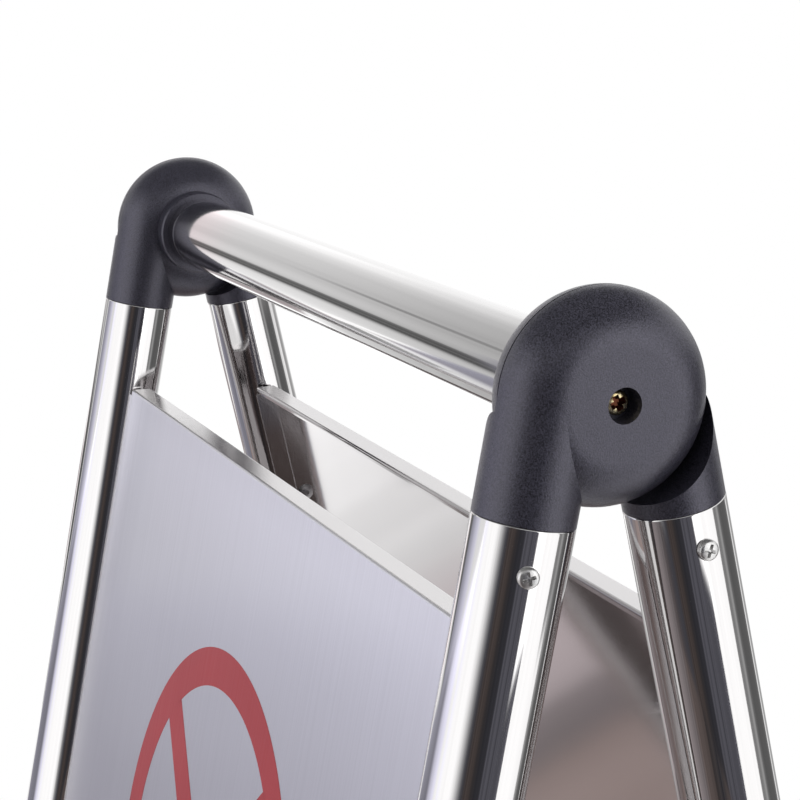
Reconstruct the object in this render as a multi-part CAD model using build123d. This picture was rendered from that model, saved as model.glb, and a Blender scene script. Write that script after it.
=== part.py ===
from build123d import *
import os
from math import cos, radians, sin, sqrt

# A folding A-frame caution sign. Two leaning frames of round tube and folded
# sheet are hinged at the top by moulded elbows, and a grip tube turns on the
# pivot axis between them.
# X runs along the pivot, the front frame leans towards -Y, +Z is up and the
# floor is Z = 0 under the pivot. The rear frame is the front frame turned
# half a turn about Z, with its panel a little lower.

# Layout
axis_span = 338.0       # between the leg axes, left to right
pivot_height = 584.0    # pivot axis above the floor
lean = 11.8             # lean of each frame from upright when open, in degrees
leg_offset = 13.7       # pivot axis to leg axis

# Tube stock for the legs and the grip
tube_od = 25.0
tube_wall = 1.0

# Hinge elbow
hinge_gap = 0.4         # between the flat mating faces of a pair
barrel_end = 30.5       # pivot axis to the shoulder that meets the leg tube
barrel_inset = 0.05     # barrel under the tube's surface, where the disc's rim runs into it
sweep_gap = 0.8         # room round the partner's disc
plug_length = 30.0      # spigot inside the leg tube
plug_wall = 2.4
plug_gap = 0.05         # spigot to tube bore, radial
plug_lead = 1.2         # lead-in chamfer on every spigot

# Fold stop: a lug on the inner elbow runs in an arc groove of the outer one
stop_radius = 19.2      # middle of the lug
stop_width = 3.4        # lug, radial
stop_height = 2.6       # lug beyond the gap
stop_angle = 18.0       # lug, round the pivot, in degrees
stop_side_gap = 0.5     # lug to groove walls
stop_end_gap = 0.3      # lug to groove end, where the fold stops

# Pivot bolt and its recess
recess_d = 8.6
recess_depth = 6.0
bolt_d = 3.5
bolt_head_d = 6.0
bolt_head_height = 2.4
bolt_head_edge = 0.8
bolt_gap = 0.05         # bolt to hole, radial
bolt_seat_gap = 0.1     # under the head, where the hinge turns
nut_flats = 6.0
nut_height = 3.0
nut_gap = 0.08          # nut to pocket flats
nut_depth = 1.8         # nut's seat behind the collar's face
bolt_tip = 1.5          # bolt beyond the nut

# Collar on the inner elbow, between the disc face and the grip's end
collar_rise = 2.3       # beyond the grip tube's surface
collar_length = 5.7
collar_edge = 0.5
journal_length = 26.0   # spigot that the grip tube turns on
journal_wall = 3.0
journal_gap = 0.08      # journal to grip bore, radial
grip_end_gap = 0.2      # grip tube to each collar shoulder

# Screw that holds each leg tube to its elbow
outer_screw_drop = 11.0 # below the elbow's shoulder
inner_screw_drop = 9.5
outer_screw_turn = 12.0 # from the leg's outermost line round towards the panel face, in degrees
screw_d = 2.9
screw_length = 6.5
screw_head_d = 5.2
screw_head_height = 1.9
screw_head_edge = 0.8
screw_gap = 0.05        # screw to hole, radial

# Foot plug
foot_height = 22.0      # shoulder to floor along the leg axis
foot_plug = 24.0
foot_edge = 1.0         # chamfer round the sole

# Panel tray, folded from sheet
sheet = 0.8
bend_r = 0.6            # in the middle of the sheet
front_panel_top = 61.5  # pivot to the panel's top fold along the leg
rear_panel_top = 65.0
panel_height = 438.0
face_out = 1.5          # panel face in front of the leg axes
flange_depth = 7.6
flange_rise = 1.2       # free edge of the top flange above its fold
lip = 2.0               # return lip on the top and bottom flanges
corner_relief = 2.2     # flanges stop short of the corners
panel_gap = 0.05        # side flange to leg tube

# Blind rivets from the side flanges into the legs
rivet_d = 3.2
rivet_head_d = 6.0
rivet_head_height = 1.3
rivet_bulb_d = 4.6
rivet_bulb_length = 2.6
rivet_inset = 4.1       # panel face to the rivet line
rivet_end = 45.0        # end rivets to the panel's top and bottom
rivet_rows = 3
rivet_gap = 0.05

# Sizes that follow from the ones above
tube_r = tube_od / 2
bore_r = tube_r - tube_wall
plug_r = bore_r - plug_gap
journal_r = bore_r - journal_gap
disc_r = leg_offset + tube_r
half_gap = hinge_gap / 2
collar_r = tube_r + collar_rise
collar_end = tube_r + collar_length
journal_end = collar_end + journal_length
nut_seat = collar_end + nut_depth
pocket_end = nut_seat + nut_height + bolt_tip
floor_run = (pivot_height + leg_offset * sin(radians(lean))) / cos(radians(lean))
leg_end = floor_run - foot_height
face_y = -leg_offset - face_out
rivet_y = face_y + rivet_inset
panel_width = axis_span - tube_od - 2 * panel_gap
rivet_step = (panel_height - 2 * rivet_end) / (rivet_rows - 1)


def along_x(radius, start, end, y=0, z=0):
    """Round bar along X between two places."""
    bar = Rot(0, 90, 0) * Cylinder(radius, end - start)
    return Pos((start + end) / 2, y, z) * bar


def down_leg(radius, start, end, x=0):
    """Round bar on a leg axis, from start to end below the pivot."""
    return Pos(x, -leg_offset, -(start + end) / 2) * Cylinder(radius, end - start)


def spigot(start, length):
    """Hollow plug for a tube's end, on the leg axis at X = 0."""
    outside = down_leg(plug_r, start, start + length)
    outside = chamfer(outside.edges().group_by(Axis.Z)[0], plug_lead)
    return outside - down_leg(plug_r - plug_wall, start, start + length)


def arc_block(inner, outer, start_x, end_x, from_angle, to_angle):
    """Block between two radii and two angles round the pivot, measured from +Y to +Z."""
    ends = []
    for angle in (from_angle, to_angle):
        ray = radians(angle)
        ends.append(((inner * cos(ray), inner * sin(ray)), (outer * cos(ray), outer * sin(ray))))
    ray = radians((from_angle + to_angle) / 2)
    inside = ThreePointArc(ends[0][0], (inner * cos(ray), inner * sin(ray)), ends[1][0])
    outside = ThreePointArc(ends[0][1], (outer * cos(ray), outer * sin(ray)), ends[1][1])
    rim = Curve() + [inside, Line(*ends[1]), outside, Line(*ends[0])]
    return extrude(Plane.YZ.offset(start_x) * make_face(rim), end_x - start_x)


def elbow_shell():
    """The form that both elbows share: disc with a tube-round rim, barrel and spigot."""
    mid = tube_r * sqrt(0.5)
    rim_r = leg_offset + sqrt(tube_r**2 - half_gap**2)
    rim = ThreePointArc((tube_r, leg_offset), (mid, leg_offset + mid), (half_gap, rim_r))
    sides = Polyline((half_gap, rim_r), (half_gap, 0), (tube_r, 0), (tube_r, leg_offset))
    disc = revolve(make_face(Curve() + [sides, rim]), Axis.X)
    scoop = along_x(disc_r + sweep_gap, -tube_od, half_gap)
    barrel = down_leg(tube_r - barrel_inset, 0, barrel_end) - scoop
    return disc + barrel + spigot(barrel_end, plug_length)


def screw_place(side):
    """Where a leg's screw sits: on the leg axis, +X outwards along the screw."""
    drop = outer_screw_drop if side > 0 else inner_screw_drop
    turn = -outer_screw_turn if side > 0 else 180
    return Pos(0, -leg_offset, -barrel_end - drop) * Rot(0, 0, turn)


def screw_hole(side):
    """Hole for a leg's screw through the tube's and the spigot's outer walls."""
    return screw_place(side) * along_x(screw_d / 2 + screw_gap, 0, tube_od)


def outer_elbow(side):
    """Elbow with the bolt recess in its face and the stop's groove in its mating face."""
    body = elbow_shell()
    body -= along_x(recess_d / 2, tube_r - recess_depth, tube_od)
    body -= along_x(bolt_d / 2 + bolt_gap, -tube_od, tube_od)
    reach = stop_width / 2 + stop_side_gap
    end_room = stop_angle / 2 + stop_end_gap / radians(1) / stop_radius
    body -= arc_block(
        stop_radius - reach,
        stop_radius + reach,
        -half_gap,
        half_gap + stop_height,
        90 - end_room,
        90 + 2 * lean + end_room,
    )
    return body - screw_hole(side)


def collar():
    """Round collar on the disc face, with the journal that the grip turns on."""
    root = tube_r / 2
    ring = along_x(collar_r, root, collar_end)
    ring = chamfer(ring.edges().group_by(Axis.X)[-1], collar_edge)
    journal = along_x(journal_r, root, journal_end)
    journal = chamfer(journal.edges().group_by(Axis.X)[-1], plug_lead)
    return ring + journal


def inner_elbow(side):
    """Elbow with the collar for the grip, the nut's pocket and the stop's lug."""
    body = elbow_shell() + collar()
    body += arc_block(
        stop_radius - stop_width / 2,
        stop_radius + stop_width / 2,
        -half_gap - stop_height + stop_side_gap,
        half_gap,
        90 - stop_angle / 2,
        90 + stop_angle / 2,
    )
    body -= along_x(bolt_d / 2 + bolt_gap, -tube_od, nut_seat)
    pocket = RegularPolygon(nut_flats / 2 + nut_gap, 6, major_radius=False)
    body -= extrude(Plane.YZ.offset(nut_seat) * pocket, pocket_end - nut_seat)
    body -= along_x(journal_r - journal_wall, pocket_end, journal_end)
    return body - screw_hole(side)


def pivot_bolt():
    """Pan-head bolt along the pivot, placed from the hinge middle, head towards -X."""
    seat = recess_depth - tube_r - bolt_seat_gap
    head = along_x(bolt_head_d / 2, seat - bolt_head_height, seat)
    head = chamfer(head.edges().group_by(Axis.X)[0], bolt_head_edge)
    return head + along_x(bolt_d / 2, seat, pocket_end)


def pivot_nut():
    """Hex nut in the inner elbow's pocket."""
    flats = RegularPolygon(nut_flats / 2, 6, major_radius=False)
    hexagon = extrude(Plane.YZ.offset(nut_seat) * flats, nut_height)
    return hexagon - along_x(bolt_d / 2 + bolt_gap, nut_seat, nut_seat + nut_height)


def leg_tube(side, panel_top):
    """Leg tube between the elbow's shoulder and the foot, with its screw and rivet holes."""
    tube = down_leg(tube_r, barrel_end, leg_end) - down_leg(bore_r, barrel_end, leg_end)
    tube -= screw_hole(side)
    for row in range(rivet_rows):
        drop = panel_top + rivet_end + row * rivet_step
        reach = sorted((0, -side * tube_od))
        tube -= along_x(rivet_d / 2 + rivet_gap, *reach, rivet_y, -drop)
    return tube


def leg_screw(side):
    """Pan-head screw, its head seated on the leg tube."""
    head = along_x(screw_head_d / 2, tube_r, tube_r + screw_head_height)
    head = chamfer(head.edges().group_by(Axis.X)[-1], screw_head_edge)
    shank = along_x(screw_d / 2, tube_r - screw_length, tube_r)
    return screw_place(side) * (head + shank)


def foot():
    """Foot plug, still square at its end: the floor trims it once it leans."""
    block = down_leg(tube_r, leg_end, floor_run + tube_od)
    return block + mirror(spigot(-leg_end, foot_plug), Plane.XY)


def panel(panel_top):
    """Folded tray with return lips along the top and bottom flanges."""
    middle_y = face_y + sheet / 2
    lip_y = face_y + flange_depth - sheet / 2
    top = -panel_top - sheet / 2
    bottom = -panel_top - panel_height + sheet / 2
    lip_run = lip - sheet / 2
    fold = FilletPolyline(
        (lip_y, top + flange_rise - lip_run),
        (lip_y, top + flange_rise),
        (middle_y, top),
        (middle_y, bottom),
        (lip_y, bottom),
        (lip_y, bottom + lip_run),
        radius=bend_r,
    )
    half_run = panel_width / 2 - corner_relief
    tray = extrude(Plane.YZ * trace(fold, sheet), half_run, both=True)
    side_x = panel_width / 2 - sheet / 2
    side_y = face_y + flange_depth
    wrap = FilletPolyline(
        (-side_x, side_y), (-side_x, middle_y), (side_x, middle_y), (side_x, side_y), radius=bend_r
    )
    height = panel_height - 2 * corner_relief
    foot_z = -panel_top - panel_height + corner_relief
    tray += extrude(Plane.XY.offset(foot_z) * trace(wrap, sheet), height)
    for row in range(rivet_rows):
        drop = panel_top + rivet_end + row * rivet_step
        tray -= along_x(rivet_d / 2 + rivet_gap, -panel_width, panel_width, rivet_y, -drop)
    return tray


def rivet():
    """Set blind rivet along +X, head underside at X = 0."""
    shank_r = rivet_d / 2
    bulb_r = rivet_bulb_d / 2
    furthest = rivet_inset - face_out + bulb_r
    tube_inside = sheet + panel_gap + tube_r - sqrt(bore_r**2 - furthest**2) + rivet_gap
    head = along_x(rivet_head_d / 2, -rivet_head_height, 0)
    shank = along_x(shank_r, 0, tube_inside)
    return head + shank + along_x(bulb_r, tube_inside, tube_inside + rivet_bulb_length)


def panel_rivets(panel_top):
    """All rivets of one panel, heads on the inner faces of the side flanges."""
    pieces = []
    seat_x = panel_width / 2 - sheet
    for row in range(rivet_rows):
        drop = panel_top + rivet_end + row * rivet_step
        right = Pos(seat_x, rivet_y, -drop) * rivet()
        pieces += [right, mirror(right, Plane.YZ)]
    return Compound(children=pieces)


def grip_tube():
    """Grip between the two collars, on the pivot axis."""
    half = axis_span / 2 - collar_end - grip_end_gap
    return along_x(tube_r, -half, half) - along_x(bore_r, -half, half)


def stand(piece):
    """Lean a front-frame piece and lift it so that the pivot is at its height."""
    return Pos(0, 0, pivot_height) * Rot(-lean, 0, 0) * piece


def trim_foot(piece):
    """Cut a leaning foot flat on the floor and break the sole's edge."""
    flat = split(piece, Plane.XY, keep=Keep.TOP)
    return chamfer(flat.faces().sort_by(Axis.Z)[0].outer_wire().edges(), foot_edge)


def frame(panel_top):
    """The pieces of one frame, standing at the front, by name."""
    right = Pos(axis_span / 2, 0, 0)
    left = Pos(-axis_span / 2, 0, 0)
    return {
        "panel": stand(panel(panel_top)),
        "panel_rivets": stand(panel_rivets(panel_top)),
        "right_leg": stand(right * leg_tube(1, panel_top)),
        "left_leg": stand(left * leg_tube(-1, panel_top)),
        "right_elbow": stand(right * outer_elbow(1)),
        "left_elbow": stand(left * inner_elbow(-1)),
        "right_screw": stand(right * leg_screw(1)),
        "left_screw": stand(left * leg_screw(-1)),
        "right_foot": trim_foot(stand(right * foot())),
        "left_foot": trim_foot(stand(left * foot())),
        "pivot_bolt": stand(left * pivot_bolt()),
        "pivot_nut": stand(left * pivot_nut()),
    }


os.makedirs("parts", exist_ok=True)
for name, piece in frame(front_panel_top).items():
    export_step(piece, f"parts/front_{name}.step")
turned = {"right": "left", "left": "right"}
for name, piece in frame(rear_panel_top).items():
    side, _, rest = name.partition("_")
    rear_name = f"{turned[side]}_{rest}" if side in turned else name
    export_step(Rot(0, 0, 180) * piece, f"parts/rear_{rear_name}.step")
export_step(Pos(0, 0, pivot_height) * grip_tube(), "parts/grip_tube.step")
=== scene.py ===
import math

import bmesh
import bpy
from mathutils import Matrix, Vector


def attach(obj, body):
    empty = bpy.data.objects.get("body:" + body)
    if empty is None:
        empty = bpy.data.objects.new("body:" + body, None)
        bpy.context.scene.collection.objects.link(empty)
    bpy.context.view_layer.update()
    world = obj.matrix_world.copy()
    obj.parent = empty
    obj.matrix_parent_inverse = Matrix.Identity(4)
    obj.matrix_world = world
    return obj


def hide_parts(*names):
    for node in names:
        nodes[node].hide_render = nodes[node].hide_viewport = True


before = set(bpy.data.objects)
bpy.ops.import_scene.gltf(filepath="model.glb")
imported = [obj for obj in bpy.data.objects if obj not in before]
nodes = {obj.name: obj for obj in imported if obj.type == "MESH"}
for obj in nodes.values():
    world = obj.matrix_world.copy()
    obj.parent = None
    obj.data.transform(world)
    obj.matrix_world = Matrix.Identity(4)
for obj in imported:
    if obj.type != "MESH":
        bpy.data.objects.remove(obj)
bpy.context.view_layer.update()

# Places on the sign, in metres
PIVOT = Vector((0.0, 0.0, 0.584))
LEAN = math.radians(11.8)
HALF_SPAN = 0.169
LEG_OFFSET = 0.0137
TUBE_RADIUS = 0.0125
TUBE_WALL = 0.001
PANEL_PROUD = 0.0015
PANEL_FACE = LEG_OFFSET + PANEL_PROUD
SHEET = 0.0008

# Each frame's own axes: pivot at the origin, legs straight down, panel towards -Y
FRONT = Matrix.Translation(PIVOT) @ Matrix.Rotation(-LEAN, 4, "X")
REAR = Matrix.Rotation(math.pi, 4, "Z") @ FRONT


# Tones by their level

def grey(level):
    return (level, level, level)


def cool(level):
    return (0.97 * level, 0.96 * level, 1.14 * level)


def warm(level):
    return (1.08 * level, 0.95 * level, 0.97 * level)


def brown(level):
    return (1.17 * level, 0.94 * level, 0.89 * level)


# Materials

def fill_ramp(ramp, stops):
    """Set a colour ramp from (position, colour) stops in rising order."""
    for element, (position, colour) in zip(ramp.elements, (stops[0], stops[-1])):
        element.position = position
        element.color = (*colour, 1.0)
    for position, colour in stops[1:-1]:
        ramp.elements.new(position).color = (*colour, 1.0)


class Shader:
    """A node material with a Principled surface and short ways to add nodes."""

    def __init__(self, name, **sockets):
        self.material = bpy.data.materials.new(name)
        self.material.use_nodes = True
        self.tree = self.material.node_tree
        self.tree.nodes.clear()
        self.surface = self.add("ShaderNodeBsdfPrincipled")
        output = self.add("ShaderNodeOutputMaterial")
        self.link(self.surface.outputs[0], output.inputs["Surface"])
        for key, value in sockets.items():
            self.surface.inputs[key.replace("_", " ")].default_value = value

    def add(self, kind, **settings):
        node = self.tree.nodes.new(kind)
        for key, value in settings.items():
            setattr(node, key, value)
        return node

    def link(self, source, target):
        self.tree.links.new(source, target)

    def feed(self, source, socket):
        self.link(source, self.surface.inputs[socket])

    def place(self, lean=0.0, scale=(1, 1, 1)):
        """Object coordinates, turned so that Z runs along a leaning leg, then stretched."""
        coordinates = self.add("ShaderNodeTexCoord")
        turn = self.add("ShaderNodeMapping")
        turn.inputs["Rotation"].default_value = (lean, 0, 0)
        self.link(coordinates.outputs["Object"], turn.inputs["Vector"])
        stretch = self.add("ShaderNodeMapping")
        stretch.inputs["Scale"].default_value = scale
        self.link(turn.outputs[0], stretch.inputs["Vector"])
        return stretch.outputs[0]

    def noise(self, vector, scale=1.0, detail=3.0, roughness=0.55):
        node = self.add("ShaderNodeTexNoise")
        node.inputs["Scale"].default_value = scale
        node.inputs["Detail"].default_value = detail
        node.inputs["Roughness"].default_value = roughness
        self.link(vector, node.inputs["Vector"])
        return node.outputs["Fac"]

    def spread(self, value, low, high, start=0.3, end=0.7):
        """Map a value between start and end to low and high."""
        node = self.add("ShaderNodeMapRange")
        node.inputs["From Min"].default_value = start
        node.inputs["From Max"].default_value = end
        node.inputs["To Min"].default_value = low
        node.inputs["To Max"].default_value = high
        self.link(value, node.inputs["Value"])
        return node.outputs[0]

    def tint(self, value, *stops):
        """Colour ramp from (position, colour) stops."""
        node = self.add("ShaderNodeValToRGB")
        fill_ramp(node.color_ramp, stops)
        self.link(value, node.inputs["Fac"])
        return node.outputs["Color"]

    def mix(self, amount, first, second):
        """First colour where amount is 0, second where it is 1."""
        node = self.add("ShaderNodeMix", data_type="RGBA")
        self.link(amount, node.inputs["Factor"])
        self.link(first, node.inputs[6])
        self.link(second, node.inputs[7])
        return node.outputs[2]

    def scale(self, colour, level):
        """Colour made lighter or darker by a level."""
        node = self.add("ShaderNodeVectorMath", operation="SCALE")
        self.link(colour, node.inputs[0])
        self.link(level, node.inputs["Scale"])
        return node.outputs[0]

    def combine(self, operation, first, second):
        """Two values joined by one of the Math node's operations."""
        node = self.add("ShaderNodeMath", operation=operation)
        self.link(first, node.inputs[0])
        self.link(second, node.inputs[1])
        return node.outputs[0]

    def bump(self, height, strength, distance, under=None):
        node = self.add("ShaderNodeBump")
        node.inputs["Strength"].default_value = strength
        node.inputs["Distance"].default_value = distance
        self.link(height, node.inputs["Height"])
        if under is not None:
            self.link(under, node.inputs["Normal"])
        return node.outputs["Normal"]


def polished_tube(name, lean, along):
    """Polished stainless tube with faint draw lines along its length."""
    s = Shader(name, Metallic=1.0)

    def drawn(across, length):
        return s.place(lean, tuple(length if axis == along else across for axis in "XYZ"))

    fine = s.noise(drawn(2600, 5), detail=3.0)
    lines = s.noise(drawn(620, 2.5), detail=5.0, roughness=0.7)
    cloud = s.noise(s.place(lean, (9, 9, 9)))
    steel = s.tint(lines, (0.25, (0.645, 0.635, 0.635)), (0.50, (0.69, 0.68, 0.68)),
                   (0.80, (0.71, 0.70, 0.70)))
    s.feed(steel, "Base Color")
    s.feed(s.spread(cloud, 0.045, 0.085, 0.1, 0.9), "Roughness")
    s.feed(s.bump(lines, 0.08, 0.00004, s.bump(fine, 0.08, 0.00002)), "Normal")
    return s.material


def sheet_panel(name, side):
    """Stainless sheet: brushed up and down outside, smooth inside, satin on its flanges' upper sides.

    The side is 1 in front and -1 at the rear.
    """
    lean = side * LEAN
    s = Shader(name, Metallic=1.0, Anisotropic=0.9)
    grain = s.noise(s.place(lean, (2900, 2900, 11)), detail=4.0, roughness=0.6)
    rolled = s.noise(s.place(lean, (14, 14, 5)), detail=2.0)
    # Masks: outer or inner side by the depth in the sheet, the flanges' upper sides by where they face
    spot = s.add("ShaderNodeSeparateXYZ")
    s.link(s.place(lean), spot.inputs[0])
    face = -PIVOT.z * math.sin(LEAN) - PANEL_FACE
    third = SHEET / 3
    start, end = side * (face + third), side * (face + 2 * third)
    behind = s.spread(spot.outputs["Y"], 0.0, 1.0, start, end)
    before = s.spread(spot.outputs["Y"], 1.0, 0.0, start, end)
    facing = s.add("ShaderNodeSeparateXYZ")
    s.link(s.add("ShaderNodeTexCoord").outputs["Normal"], facing.inputs[0])
    flange = s.spread(facing.outputs["Z"], 0.0, 1.0, 0.7, 0.9)
    # Painted light: the brushed face is made lighter towards the top, in levels at heights along the leg
    painted_top_light = s.tint(spot.outputs["Z"], (0.30, grey(0.83)), (0.385, grey(0.87)), (0.445, grey(0.97)),
                  (0.47, grey(1.05)), (0.50, grey(1.20)))
    brushed = s.scale(s.tint(grain, (0.25, (0.69, 0.685, 0.73)), (0.75, (0.76, 0.755, 0.805))), painted_top_light)
    smooth = s.tint(rolled, (0.2, (0.585, 0.565, 0.57)), (0.8, (0.615, 0.60, 0.605)))
    satin = s.tint(rolled, (0.2, (0.73, 0.71, 0.715)), (0.8, (0.76, 0.745, 0.75)))
    s.feed(s.mix(behind, brushed, s.mix(flange, smooth, satin)), "Base Color")
    outer_roughness = s.spread(behind, 0.34, 0.0, 0.0, 1.0)
    inner_roughness = s.spread(flange, 0.055, 0.19, 0.0, 1.0)
    s.feed(s.combine("MAXIMUM", outer_roughness, inner_roughness), "Roughness")
    brush_height = s.combine("MULTIPLY", grain, before)
    s.feed(s.bump(brush_height, 0.12, 0.00003, s.bump(rolled, 0.05, 0.002)), "Normal")
    across = s.add("ShaderNodeCombineXYZ")
    across.inputs["X"].default_value = 1.0
    s.feed(across.outputs[0], "Tangent")
    return s.material


def moulded_plastic(name):
    """Blue-black nylon with a fine blasted grain."""
    s = Shader(name, Specular_IOR_Level=0.9, Specular_Tint=(0.87, 0.85, 1.0, 1.0))
    pits = s.noise(s.place(), scale=2600, detail=2.0)
    speck = s.noise(s.place(), scale=5200, detail=1.0)
    s.feed(s.tint(pits, (0.36, (0.0045, 0.0043, 0.0065)), (0.64, (0.0380, 0.0365, 0.0510))), "Base Color")
    s.feed(s.spread(speck, 0.26, 0.38), "Roughness")
    s.feed(s.bump(speck, 0.25, 0.00006, s.bump(pits, 0.45, 0.00012)), "Normal")
    return s.material


def foot_rubber(name):
    """Dark rubber, a little dusty."""
    s = Shader(name)
    dust = s.noise(s.place(), scale=90, detail=6.0)
    grain = s.noise(s.place(), scale=1800)
    s.feed(s.tint(dust, (0.35, (0.016, 0.016, 0.017)), (0.75, (0.035, 0.034, 0.033))), "Base Color")
    s.feed(s.spread(grain, 0.6, 0.8), "Roughness")
    s.feed(s.bump(grain, 0.3, 0.0001), "Normal")
    return s.material


def plated(name, dark, light, roughness):
    """Plated steel with a clouded tint."""
    s = Shader(name, Metallic=1.0)
    cloud = s.noise(s.place(), scale=420, detail=3.0)
    scratch = s.noise(s.place(), scale=2400)
    s.feed(s.tint(cloud, (0.32, dark), (0.68, light)), "Base Color")
    s.feed(s.spread(cloud, roughness * 0.7, roughness * 1.3), "Roughness")
    s.feed(s.bump(scratch, 0.15, 0.00003), "Normal")
    return s.material


def printed_red(name, lean):
    """Red screen print over the brushed sheet, which shows faintly through it."""
    s = Shader(name, Specular_IOR_Level=0.3)
    grain = s.noise(s.place(lean, (2900, 2900, 11)), detail=4.0)
    cloud = s.noise(s.place(lean, (24, 24, 24)))
    s.feed(s.tint(cloud, (0.3, (0.315, 0.018, 0.027)), (0.7, (0.35, 0.022, 0.031))), "Base Color")
    s.feed(s.spread(grain, 0.36, 0.46), "Roughness")
    s.feed(s.bump(grain, 0.08, 0.00003), "Normal")
    return s.material


tube_front = polished_tube("tube_front", LEAN, "Z")
tube_rear = polished_tube("tube_rear", -LEAN, "Z")
tube_grip = polished_tube("tube_grip", 0.0, "X")
panel_front = sheet_panel("panel_front", 1)
panel_rear = sheet_panel("panel_rear", -1)
plastic = moulded_plastic("hinge_plastic")
rubber = foot_rubber("foot_rubber")
zinc = plated("bright_zinc", (0.62, 0.62, 0.62), (0.80, 0.79, 0.78), 0.36)
yellow_zinc = plated("yellow_zinc", (0.66, 0.50, 0.22), (0.93, 0.84, 0.58), 0.22)
# Dark reddish-brown zinc for the pivot bolts' cross recess
brown_recess_zinc = plated("brown_recess_zinc", (0.075, 0.022, 0.012), (0.22, 0.085, 0.050), 0.42)
aluminium = plated("rivet_aluminium", (0.62, 0.62, 0.63), (0.74, 0.74, 0.75), 0.34)
red_front = printed_red("red_front", LEAN)
red_rear = printed_red("red_rear", -LEAN)

finishes = {
    "panel": (panel_front, panel_rear),
    "leg": (tube_front, tube_rear),
    "elbow": (plastic, plastic),
    "foot": (rubber, rubber),
    "nut": (yellow_zinc, yellow_zinc),
    "bolt": (yellow_zinc, yellow_zinc),
    "screw": (zinc, zinc),
    "rivets": (aluminium, aluminium),
    "tube": (tube_grip, tube_grip),
}
for name, node in nodes.items():
    finish = finishes[name.split("_")[-1]][0 if name.startswith("front") else 1]
    node.data.materials.clear()
    node.data.materials.append(finish)


# Fasteners: cross-recess screws and bolts, blind rivets

SHARP_ANGLE = math.radians(32)


def mesh_piece(name, build, materials, place, body):
    """New smooth-shaded piece from a bmesh builder, placed in the sign's frame."""
    bm = bmesh.new()
    build(bm)
    bmesh.ops.recalc_face_normals(bm, faces=bm.faces)
    mesh = bpy.data.meshes.new(name)
    bm.to_mesh(mesh)
    bm.free()
    for material in materials:
        mesh.materials.append(material)
    mesh.transform(place)
    mesh.shade_smooth()
    mesh.set_sharp_from_angle(angle=SHARP_ANGLE)
    piece = bpy.data.objects.new(name, mesh)
    bpy.context.scene.collection.objects.link(piece)
    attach(piece, body)
    return piece


def ring(bm, radius, z, count):
    """Loop of points round Z."""
    angles = [i * (2 * math.pi / count) for i in range(count)]
    return [bm.verts.new((radius * math.cos(a), radius * math.sin(a), z)) for a in angles]


def bridge(bm, low, high):
    """Band of faces between two loops of as many points."""
    faces = []
    for i in range(len(low)):
        j = (i + 1) % len(low)
        faces.append(bm.faces.new((low[i], low[j], high[j], high[i])))
    return faces


def lathe(bm, profile, count=48):
    """Turned skin round Z through (radius, z) points, without its ends; returns its rows of points."""
    rows = [ring(bm, radius, z, count) for radius, z in profile]
    for low, high in zip(rows, rows[1:]):
        bridge(bm, low, high)
    return rows


def cross_head(bm, radius, height, shank_radius, shank_length, arm_width, arm_reach, depth, crown):
    """Pan head on the XY plane with a tapered cross recess in its second material, shank down -Z."""
    # Shares of a quarter turn, of the radius and of the crown that the rounded top takes; the recess's taper
    dome_turn, dome_inset, dome_rise, taper = 0.8, 0.32, 0.92, 0.55
    side = height - crown
    profile = [(shank_radius, -shank_length), (shank_radius, 0.0), (radius, 0.0), (radius, side)]
    steps = 5
    for k in range(1, steps + 1):
        angle = k / steps * math.pi / 2 * dome_turn
        inset = dome_inset * (1 - math.cos(angle))
        profile.append((radius * (1 - inset), side + crown * math.sin(angle) * dome_rise))
    rows = lathe(bm, profile)
    bm.faces.new(list(reversed(rows[0])))
    # Recess: the head's top meets the cross outline, which tapers down to a smaller one
    half = arm_width / 2
    outline = []
    for quarter in range(4):
        turn = Matrix.Rotation(quarter * math.pi / 2, 3, "Z")
        for x, y in ((arm_reach, -half), (arm_reach, half), (half, half)):
            outline.append(turn @ Vector((x, y, 0)))
    upper = [bm.verts.new((p.x, p.y, height)) for p in outline]
    lower = [bm.verts.new((p.x * taper, p.y * taper, height - depth)) for p in outline]
    for face in bridge(bm, lower, upper) + [bm.faces.new(lower)]:
        face.material_index = 1
    edges = []
    for loop in (rows[-1], upper):
        edges += [bm.edges.get((loop[i - 1], loop[i])) for i in range(len(loop))]
    bmesh.ops.triangle_fill(bm, use_beauty=True, use_dissolve=False, edges=edges)


def fastener(node, place, materials, body, sizes):
    """Cross-recess head with its shank, in place of a node."""
    piece = mesh_piece(node + "_head", lambda bm: cross_head(bm, **sizes), materials, place, body)
    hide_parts(node)


def rivet(bm, place):
    """Blind rivet with a domed head on the XY plane, its mandrel's end sunk in the middle, shank down -Z."""
    head, crown, brim, mandrel, sunk = 0.0030, 0.0013, 0.0002, 0.0009, 0.0006
    shank, shank_length = 0.0016, 0.0046
    fullness, steps = 0.7, 6
    profile = [(shank, -shank_length), (shank, 0.0), (head, 0.0), (head, brim)]
    for k in range(1, steps):
        angle = k / steps * math.pi / 2
        profile.append((head * math.cos(angle) ** fullness, brim + (crown - brim) * math.sin(angle)))
    profile += [(mandrel, crown), (mandrel, crown - sunk)]
    start = len(bm.verts)
    rows = lathe(bm, profile, count=32)
    bm.faces.new(list(reversed(rows[0])))
    bm.faces.new(rows[-1])
    bm.verts.ensure_lookup_table()
    bmesh.ops.transform(bm, matrix=place, verts=bm.verts[start:])


SCREW = dict(radius=0.0026, height=0.0018, shank_radius=0.00145, shank_length=0.0065,
             arm_width=0.00085, arm_reach=0.00165, depth=0.0011, crown=0.0009)
BOLT = dict(radius=0.0030, height=0.0024, shank_radius=0.00175, shank_length=0.0311,
            arm_width=0.0017, arm_reach=0.0019, depth=0.0016, crown=0.0010)
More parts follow.
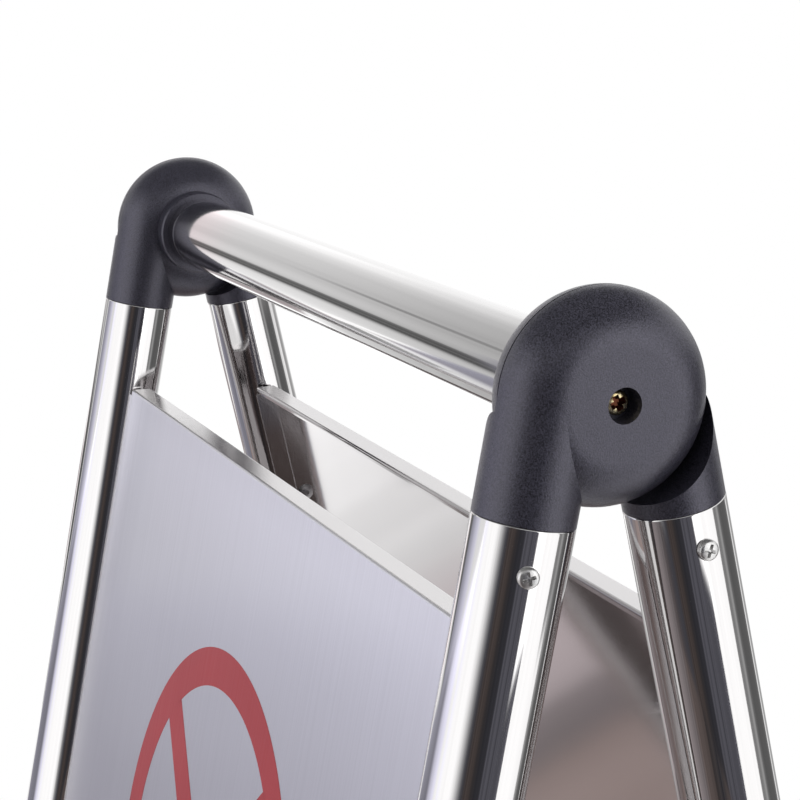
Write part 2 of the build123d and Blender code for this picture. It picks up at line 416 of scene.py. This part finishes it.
# Places of the fasteners: heights down the leg from the pivot, drops from the shoulder or the panel's top
SHOULDER = 0.0305
OUTER_SCREW_DROP = 0.0110
INNER_SCREW_DROP = 0.0095
BOLT_RECESS = 0.006
BOLT_GAP = 0.0001
BOLT_SEAT = TUBE_RADIUS - BOLT_RECESS + BOLT_GAP
PANEL_TOP = {"front": 0.0615, "rear": 0.0650}
PANEL_GAP = 0.00005
RIVET_DEPTH = 0.0041
RIVET_X = HALF_SPAN - TUBE_RADIUS - PANEL_GAP - SHEET
RIVET_Y = -PANEL_FACE + RIVET_DEPTH
RIVET_DROPS = (0.045, 0.219, 0.393)
TO_X = Matrix.Rotation(math.pi / 2, 4, "Y")


def shift(x, y, z):
    return Matrix.Translation((x, y, z))


def spin(degrees):
    return Matrix.Rotation(math.radians(degrees), 4, "Z")


for frame_name, place in (("front", FRONT), ("rear", REAR)):
    outer, inner = ("right", "left") if frame_name == "front" else ("left", "right")
    body = frame_name + "_frame"
    # The outer elbow's leg carries its screw turned towards the panel, the inner one's square to the side
    screws = ((outer, HALF_SPAN, OUTER_SCREW_DROP, -12, 24), (inner, -HALF_SPAN, INNER_SCREW_DROP, 180, 61))
    for hand, x, drop, turn, slot_turn in screws:
        spot = shift(x, -LEG_OFFSET, -SHOULDER - drop) @ spin(turn) @ shift(TUBE_RADIUS, 0, 0)
        fastener(f"{frame_name}_{hand}_screw", place @ spot @ TO_X @ spin(slot_turn), (zinc, zinc),
                 body, SCREW)
    spot = shift(-HALF_SPAN - BOLT_SEAT, 0, 0) @ spin(180)
    fastener(f"{frame_name}_pivot_bolt", place @ spot @ TO_X @ spin(12), (yellow_zinc, brown_recess_zinc),
             body, BOLT)

    def heads(bm):
        for side, turn in ((-1, 0), (1, 180)):
            for drop in RIVET_DROPS:
                at = shift(side * RIVET_X, RIVET_Y, -PANEL_TOP[frame_name] - drop)
                rivet(bm, at @ spin(turn) @ TO_X)

    rivets = mesh_piece(frame_name + "_rivets", heads, (aluminium,), place, body)
    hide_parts(frame_name + "_panel_rivets")


# Leg tubes with broken edges at their ends

BORE_RADIUS = TUBE_RADIUS - TUBE_WALL
FOOT_HEIGHT = 0.022
LEG_END = (PIVOT.z + LEG_OFFSET * math.sin(LEAN)) / math.cos(LEAN) - FOOT_HEIGHT
BREAK = 0.0005


def leg_tube(bm):
    """Tube down -Z from the elbow's shoulder to the foot."""
    steps = 4
    corner = [k / steps * math.pi / 2 for k in range(steps + 1)]
    rim = TUBE_RADIUS - BREAK
    profile = [(BORE_RADIUS, -SHOULDER)]
    profile += [(rim + BREAK * math.sin(a), -SHOULDER - BREAK * (1 - math.cos(a))) for a in corner]
    profile += [(rim + BREAK * math.cos(a), -LEG_END + BREAK * (1 - math.sin(a))) for a in corner]
    profile += [(BORE_RADIUS, -LEG_END)]
    rows = lathe(bm, profile, count=128)
    bridge(bm, rows[-1], rows[0])


for frame_name, place, material in (("front", FRONT, tube_front), ("rear", REAR, tube_rear)):
    for hand, x in (("right", HALF_SPAN), ("left", -HALF_SPAN)):
        spot = place @ shift(x, -LEG_OFFSET, 0)
        tube = mesh_piece(f"{frame_name}_{hand}_tube", leg_tube, (material,), spot, frame_name + "_frame")
        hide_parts(f"{frame_name}_{hand}_leg")


# Printed figure: a ring with two crossed diagonals

RING_BELOW_TOP = 0.1345
RING_OUTER = 0.079
RING_INNER = 0.0668
STROKE = 0.0130
OVERLAP = 0.0004
FILM = 0.00008


def prohibition(bm):
    """Flat figure in the XY plane, thickness along Z."""
    section = [(RING_OUTER, 0), (RING_OUTER, FILM), (RING_INNER, FILM), (RING_INNER, 0)]
    rows = lathe(bm, section, count=128)
    bridge(bm, rows[-1], rows[0])
    half = STROKE / 2
    reach = math.sqrt(RING_INNER**2 - half**2) + OVERLAP
    for angle, spans in ((135, [(-reach, reach)]), (45, [(-reach, -half), (half, reach)])):
        turn = Matrix.Rotation(math.radians(angle), 3, "Z")
        for start, end in spans:
            corners = [(start, -half), (end, -half), (end, half), (start, half)]
            low = [bm.verts.new(turn @ Vector((x, y, 0))) for x, y in corners]
            high = [bm.verts.new(turn @ Vector((x, y, FILM))) for x, y in corners]
            bridge(bm, low, high)
            bm.faces.new(high)
            bm.faces.new(list(reversed(low)))


UPRIGHT = Matrix.Rotation(math.pi / 2, 4, "X")
for frame_name, place, material in (("front", FRONT, red_front), ("rear", REAR, red_rear)):
    spot = place @ shift(0, -PANEL_FACE, -PANEL_TOP[frame_name] - RING_BELOW_TOP) @ UPRIGHT
    mesh_piece(frame_name + "_ring_figure", prohibition, (material,), spot, frame_name + "_frame")


# Studio: a pale floor, cards that only gloss sees, lamps, world and camera

def stage_mesh(name, verts, faces, material):
    mesh = bpy.data.meshes.new(name)
    mesh.from_pydata(verts, [], faces)
    mesh.materials.append(material)
    piece = bpy.data.objects.new(name, mesh)
    bpy.context.scene.collection.objects.link(piece)
    return piece


def node_tree(name):
    material = bpy.data.materials.new(name)
    material.use_nodes = True
    material.node_tree.nodes.clear()
    return material, material.node_tree


def fade_to_clear(tree, surface, amount):
    """Close a stage material: clear where amount is 0, the given surface where it is 1."""
    clear = tree.nodes.new("ShaderNodeBsdfTransparent")
    mix = tree.nodes.new("ShaderNodeMixShader")
    output = tree.nodes.new("ShaderNodeOutputMaterial")
    tree.links.new(amount, mix.inputs["Fac"])
    tree.links.new(clear.outputs[0], mix.inputs[1])
    tree.links.new(surface.outputs[0], mix.inputs[2])
    tree.links.new(mix.outputs[0], output.inputs["Surface"])


FLOOR_HALF = 0.95
FLOOR_FULL_TO = 0.45
FLOOR_CLEAR_FROM = 0.92


def floor_material():
    """Pale matt floor that fades out round the sign."""
    material, tree = node_tree("floor")
    surface = tree.nodes.new("ShaderNodeBsdfDiffuse")
    surface.inputs["Color"].default_value = (0.84, 0.84, 0.845, 1)
    coordinates = tree.nodes.new("ShaderNodeTexCoord")
    length = tree.nodes.new("ShaderNodeVectorMath")
    length.operation = "LENGTH"
    tree.links.new(coordinates.outputs["Object"], length.inputs[0])
    fade = tree.nodes.new("ShaderNodeMapRange")
    fade.interpolation_type = "SMOOTHSTEP"
    fade.inputs["From Min"].default_value = FLOOR_CLEAR_FROM
    fade.inputs["From Max"].default_value = FLOOR_FULL_TO
    tree.links.new(length.outputs["Value"], fade.inputs["Value"])
    fade_to_clear(tree, surface, fade.outputs[0])
    return material


corners = [(x * FLOOR_HALF, y * FLOOR_HALF, 0) for x, y in ((-1, -1), (1, -1), (1, 1), (-1, 1))]
floor = stage_mesh("floor", corners, [(0, 1, 2, 3)], floor_material())
floor.visible_glossy = False


def card_material(name, stops, streaks, levels):
    """Glow in tones that run along the card and levels across it, with fine streaks.

    It fades by the mesh's edge values.
    """
    material, tree = node_tree(name)

    def attribute(label):
        node = tree.nodes.new("ShaderNodeAttribute")
        node.attribute_name = label
        return node.outputs["Fac"]

    along = attribute("along")
    glow = tree.nodes.new("ShaderNodeEmission")
    ramp = tree.nodes.new("ShaderNodeValToRGB")
    fill_ramp(ramp.color_ramp, stops)
    tree.links.new(along, ramp.inputs["Fac"])
    tree.links.new(ramp.outputs["Color"], glow.inputs["Color"])
    lines = tree.nodes.new("ShaderNodeTexNoise")
    lines.noise_dimensions = "1D"
    lines.inputs["Scale"].default_value = 44.0
    lines.inputs["Detail"].default_value = 2.0
    tree.links.new(along, lines.inputs["W"])
    level = tree.nodes.new("ShaderNodeMapRange")
    level.inputs["From Min"].default_value = 0.3
    level.inputs["From Max"].default_value = 0.7
    level.inputs["To Min"].default_value = 1 - streaks
    level.inputs["To Max"].default_value = 1 + streaks
    tree.links.new(lines.outputs["Fac"], level.inputs["Value"])
    shade = tree.nodes.new("ShaderNodeValToRGB")
    fill_ramp(shade.color_ramp, levels)
    tree.links.new(attribute("across"), shade.inputs["Fac"])
    strength = tree.nodes.new("ShaderNodeMath")
    strength.operation = "MULTIPLY"
    tree.links.new(level.outputs[0], strength.inputs[0])
    tree.links.new(shade.outputs["Color"], strength.inputs[1])
    tree.links.new(strength.outputs[0], glow.inputs["Strength"])
    fade_to_clear(tree, glow, attribute("edge"))
    return material


EVEN = ((0.0, (1, 1, 1)), (1.0, (1, 1, 1)))


def card(name, spot, soft, stops, streaks=0.0, levels=EVEN):
    """Glowing sheet over u and v from 0 to 1: spot(u, v) is a point, soft the widths that fade at each side.

    The stops' tones run along u, and the levels that scale them along v.
    """
    count = 64
    verts, faces, edge, along, across = [], [], [], [], []

    def ease(distance, width):
        t = min(1.0, distance / width) if width else 1.0
        return t * t * (3 - 2 * t)

    for i in range(count + 1):
        for k in range(count + 1):
            u, v = i / count, k / count
            verts.append(spot(u, v))
            edge.append(ease(u, soft[0]) * ease(1 - u, soft[1]) * ease(v, soft[2]) * ease(1 - v, soft[3]))
            along.append(u)
            across.append(v)
            if i and k:
                a = i * (count + 1) + k
                faces.append((a - count - 2, a - 1, a, a - count - 1))
    piece = stage_mesh(name, verts, faces, card_material(name, stops, streaks, levels))
    for label, values in (("edge", edge), ("along", along), ("across", across)):
        piece.data.attributes.new(label, "FLOAT", "POINT").data.foreach_set("value", values)
    piece.visible_camera = False
    piece.visible_diffuse = False
    piece.visible_shadow = False
    piece.visible_transmission = False


def shares(stops):
    """Stops as shares of the way from the first one's place to the last one's."""
    start, end = stops[0][0], stops[-1][0]
    return [((at - start) / (end - start), tone) for at, tone in stops]


def between(start, end, share):
    return start + (end - start) * share


def round_legs(azimuth, radius, z):
    """Point round the near legs: azimuth 0 is towards -Y, 90 towards +X."""
    a = math.radians(azimuth)
    return (HALF_SPAN + radius * math.sin(a), -radius * math.cos(a), z)


def wall(name, radius, low, high, soft, streaks, *stops, slant=0.0):
    """Upright card round the near legs, its tones set at azimuths; slant leans its first edge over."""
    def spot(u, v):
        azimuth = between(stops[0][0], stops[-1][0], u) + slant * (v - 0.5) * (1 - u)
        return round_legs(azimuth, radius, between(low, high, v))

    card(name, spot, soft, shares(stops), streaks)


def fan(name, near, far, z, soft, streaks, *stops):
    """Card on the floor round the near legs, its tones set at azimuths."""
    def spot(u, v):
        return round_legs(between(stops[0][0], stops[-1][0], u), between(near, far, v), z)

    card(name, spot, soft, shares(stops), streaks)


def mat(name, near, far, z, soft, streaks, *stops):
    """Level card from near to far along Y, its tones set along X."""
    def spot(u, v):
        return (between(stops[0][0], stops[-1][0], u), between(near, far, v), z)

    card(name, spot, soft, shares(stops), streaks)


def screen(name, x, low, near_top, far_top, soft, *stops, levels=EVEN):
    """Upright card square to X, its tones set along Y, its top rising from near_top to far_top."""
    def spot(u, v):
        return (x, between(stops[0][0], stops[-1][0], u), between(low, between(near_top, far_top, u), v))

    card(name, spot, soft, shares(stops), levels=levels)


def halo(name, x, soft, stops, levels):
    """Upright sector square to X round the pivot axis, its tones set by distance, its levels by angle."""
    def spot(u, v):
        a = math.radians(between(levels[0][0], levels[-1][0], v))
        r = between(stops[0][0], stops[-1][0], u)
        return (x, r * math.cos(a), PIVOT.z + r * math.sin(a))

    card(name, spot, soft, shares(stops), levels=[(at, grey(level)) for at, level in shares(levels)])


# What the bright metal mirrors: white screens, a dark side towards the camera, boards on the floor
wall("softbox", 2.2, 0.0, 2.0, (0.05, 0.05, 0, 0.2), 0.0,
     (-22, cool(1.30)), (-8, grey(1.40)), (42, grey(1.48)))
wall("camera_side", 0.83, 0.11, 1.05, (0.27, 0, 0.02, 0.25), 0.2,
     (10, cool(0.06)), (36, cool(0.068)), (42, brown(0.058)), (47, brown(0.070)), (51, brown(0.060)),
     (54, warm(0.042)), (62, cool(0.036)), (69, cool(0.042)), (72, cool(0.060)), (74, cool(0.15)),
     (76, cool(0.07)), (81, cool(0.13)), (86, cool(0.085)), (92, cool(0.12)), (97, cool(0.09)),
     (104, cool(0.11)), (110, cool(0.14)), slant=-18)
wall("strip_right", 1.05, 0.0, 1.3, (0.03, 0.02, 0, 0.2), 0.0,
     (109, grey(1.45)), (134, grey(1.45)), (158, grey(1.30)))
wall("face_light", 0.82, 0.385, 0.95, (0.2, 0.05, 0.08, 0.3), 0.0, (97, grey(2.3)), (115, grey(2.3)))
wall("back_edge", 1.0, 0.19, 0.8, (0.05, 0, 0.12, 0.2), 0.15,
     (148.5, grey(0.34)), (154, grey(0.25)), (158, grey(0.36)))
wall("back_dark", 1.0, 0.0, 0.8, (0, 0.08, 0, 0.2), 0.15,
     (158, grey(0.36)), (161, grey(0.44)), (165, grey(0.20)), (170, grey(0.13)), (190, grey(0.14)),
     (202, grey(0.24)))
BACK = ((199, grey(1.30)), (203, grey(1.20)), (207, grey(0.50)), (212, grey(0.42)), (218, grey(0.42)),
        (223, grey(0.50)), (229, grey(0.70)), (235, grey(0.88)), (241, grey(1.0)), (248, grey(1.2)))
wall("back_haze", 2.2, 0.0, 0.75, (0, 0.2, 0, 0.2), 0.05, *BACK)
fan("floor_far", 1.0, 2.2, 0.0006, (0, 0.2, 0, 0), 0.05, *BACK)
wall("back_white", 2.5, 0.1, 2.4, (0.1, 0.25, 0, 0.2), 0.0, (-132, grey(1.13)), (-95, grey(1.13)))
screen("side_left", -0.5, 0.19, 0.38, 0.98, (0.05, 0.03, 0.04, 0.12),
       (-0.12, cool(0.44)), (-0.20, cool(0.34)), (-0.31, cool(0.29)), (-0.45, cool(0.27)),
       (-0.60, cool(0.24)), (-0.68, cool(0.40)), (-0.76, cool(0.60)), (-0.83, cool(0.80)),
       (-1.05, cool(1.0)), (-1.25, cool(1.10)), (-1.60, grey(1.25)), (-2.2, grey(1.35)),
       levels=((0.0, grey(1.0)), (0.65, grey(1.0)), (0.86, grey(1.3)), (1.0, grey(1.4))))
screen("ledge_left", -0.51, 0.42, 0.66, 0.90, (0.05, 0.1, 0, 0.1),
       (-0.32, cool(0.33)), (-0.38, cool(0.38)), (-0.47, cool(0.48)), (-0.59, cool(0.65)),
       (-0.76, cool(0.85)), (-1.05, grey(1.05)))
screen("post_left", -0.5, 0.385, 0.47, 0.47, (0.15, 0.1, 0, 0.15),
       (0.05, warm(0.50)), (0.02, warm(0.42)), (-0.04, warm(0.36)), (-0.12, warm(0.36)))
screen("slat_left", -0.5, 0.31, 0.39, 0.39, (0.1, 0.1, 0.1, 0), (-0.095, grey(0.42)), (-0.135, grey(0.42)))
halo("haze_left", -1.8, (0.03, 0.1, 0.06, 0.03),
     ((0.35, grey(1.05)), (0.55, warm(0.95)), (0.60, grey(0.89)), (0.70, grey(0.84)), (0.80, grey(0.76)),
      (0.90, grey(0.66)), (1.0, grey(0.60)), (1.08, grey(0.55)), (1.16, grey(0.44)), (1.35, grey(0.42))),
     ((36, 1.75), (46, 1.60), (55, 1.50), (65, 1.45), (75, 1.25), (85, 1.13), (95, 1.06), (105, 0.98),
      (125, 0.94), (138, 0.89), (148, 0.86), (158, 0.93), (170, 0.99), (177, 0.94), (181.5, 0.80),
      (183.2, 0.30), (188, 0.18), (190, 0.17), (191, 0.27), (192.5, 0.27), (193.5, 0.15), (197, 0.16),
      (199, 0.42), (203, 0.92), (208, 1.13), (220, 1.22), (236, 1.40)))
halo("line_left", -1.79, (0.4, 0.1, 0.3, 0.25),
     ((0.66, grey(0.36)), (1.10, grey(0.32))), ((141, 1.0), (148.5, 1.0)))
fan("boards", 0.10, 1.5, 0.0012, (0.03, 0, 0, 0), 0.2,
    (-14, warm(0.50)), (0, warm(0.40)), (12, warm(0.27)), (24, warm(0.19)), (30, brown(0.13)),
    (42, brown(0.093)), (47, brown(0.080)), (49, warm(0.047)), (56, warm(0.060)), (61, cool(0.040)),
    (66, warm(0.066)), (74, brown(0.092)), (90, brown(0.094)), (99, brown(0.11)), (106, grey(0.17)),
    (110, grey(0.20)))
fan("floor_right", 0.10, 1.07, 0.0008, (0, 0, 0, 0), 0.0, (109.5, grey(1.35)), (157, grey(1.25)))
fan("floor_back", 0.10, 1.02, 0.0010, (0, 0.1, 0, 0), 0.15,
    (156.5, warm(0.22)), (162, warm(0.20)), (168, warm(0.175)), (184, warm(0.18)), (203, warm(0.30)))
mat("floor_left", -3.2, 1.0, 0.0004, (0.1, 0.05, 0.1, 0.1), 0.06,
    (-5.0, grey(1.30)), (-1.5, grey(1.33)), (-1.2, grey(1.07)), (-1.1, grey(0.88)), (-0.95, warm(0.69)),
    (-0.82, warm(0.57)), (-0.77, warm(0.50)), (-0.745, warm(0.28)), (-0.70, warm(0.21)),
    (-0.67, brown(0.28)), (-0.62, brown(0.35)), (-0.4, brown(0.34)), (-0.05, brown(0.28)))
mat("floor_mid", -0.13, 0.40, 0.0006, (0.12, 0.1, 0.12, 0.2), 0.1,
    (-1.5, grey(0.90)), (-1.1, grey(0.60)), (-0.7, warm(0.36)), (-0.3, brown(0.25)))
mat("boards_left", -1.2, -0.38, 0.0008, (0.15, 0.15, 0.1, 0.12), 0.12,
    (-1.7, warm(0.35)), (-0.6, warm(0.28)))
mat("ceiling", -1.6, 1.6, 1.55, (0.12, 0.1, 0.15, 0.15), 0.0, (-1.55, grey(0.16)), (1.7, grey(0.16)))


def lamp(name, place, aim, width, height, power):
    data = bpy.data.lights.new(name, "AREA")
    data.shape = "RECTANGLE"
    data.size = width
    data.size_y = height
    data.energy = power
    piece = bpy.data.objects.new(name, data)
    bpy.context.scene.collection.objects.link(piece)
    piece.location = place
    piece.rotation_euler = (Vector(aim) - Vector(place)).to_track_quat("-Z", "Y").to_euler()
    piece.visible_glossy = False


lamp("key_left", (-0.25, -1.5, 1.25), (0, 0, 0.4), 1.2, 1.2, 15)
lamp("fill_right", (1.25, 0.85, 1.0), (0, 0, 0.4), 0.6, 1.2, 13)
lamp("top", (0.0, 0.1, 2.0), (0, 0, 0.3), 1.6, 1.6, 9)

FILL_STRENGTH = 0.45
world = bpy.data.worlds.new("studio")
bpy.context.scene.world = world
world.use_nodes = True
tree = world.node_tree
tree.nodes.clear()
rays = tree.nodes.new("ShaderNodeLightPath")
seen = rays.outputs["Is Camera Ray"]
for kind in ("Is Glossy Ray", "Is Transmission Ray"):
    either = tree.nodes.new("ShaderNodeMath")
    either.operation = "MAXIMUM"
    tree.links.new(seen, either.inputs[0])
    tree.links.new(rays.outputs[kind], either.inputs[1])
    seen = either.outputs[0]
white = tree.nodes.new("ShaderNodeBackground")
white.inputs["Color"].default_value = (1, 1, 1, 1)
fill = tree.nodes.new("ShaderNodeBackground")
fill.inputs["Color"].default_value = (1, 1, 1, 1)
fill.inputs["Strength"].default_value = FILL_STRENGTH
choice = tree.nodes.new("ShaderNodeMixShader")
tree.links.new(seen, choice.inputs["Fac"])
tree.links.new(fill.outputs[0], choice.inputs[1])
tree.links.new(white.outputs[0], choice.inputs[2])
sky = tree.nodes.new("ShaderNodeOutputWorld")
tree.links.new(choice.outputs[0], sky.inputs["Surface"])

# Camera, close to the near end of the pivot and a little above it
CAMERA = Vector((0.59767, -0.22104, 0.68741))
RIGHT = Vector((0.374250, 0.927171, -0.017054))
DOWN = Vector((0.189383, -0.094421, -0.977353))
AHEAD = Vector((-0.907783, 0.362545, -0.210928))
camera_data = bpy.data.cameras.new("camera")
camera_data.sensor_width = 36.0
camera_data.lens = 95.46
camera_data.clip_start = 0.01
camera = bpy.data.objects.new("camera", camera_data)
bpy.context.scene.collection.objects.link(camera)
axes = Matrix((RIGHT, -DOWN, -AHEAD)).transposed()
camera.matrix_world = Matrix.Translation(CAMERA) @ axes.to_4x4()
bpy.context.scene.camera = camera
bpy.context.scene.view_settings.view_transform = "Standard"
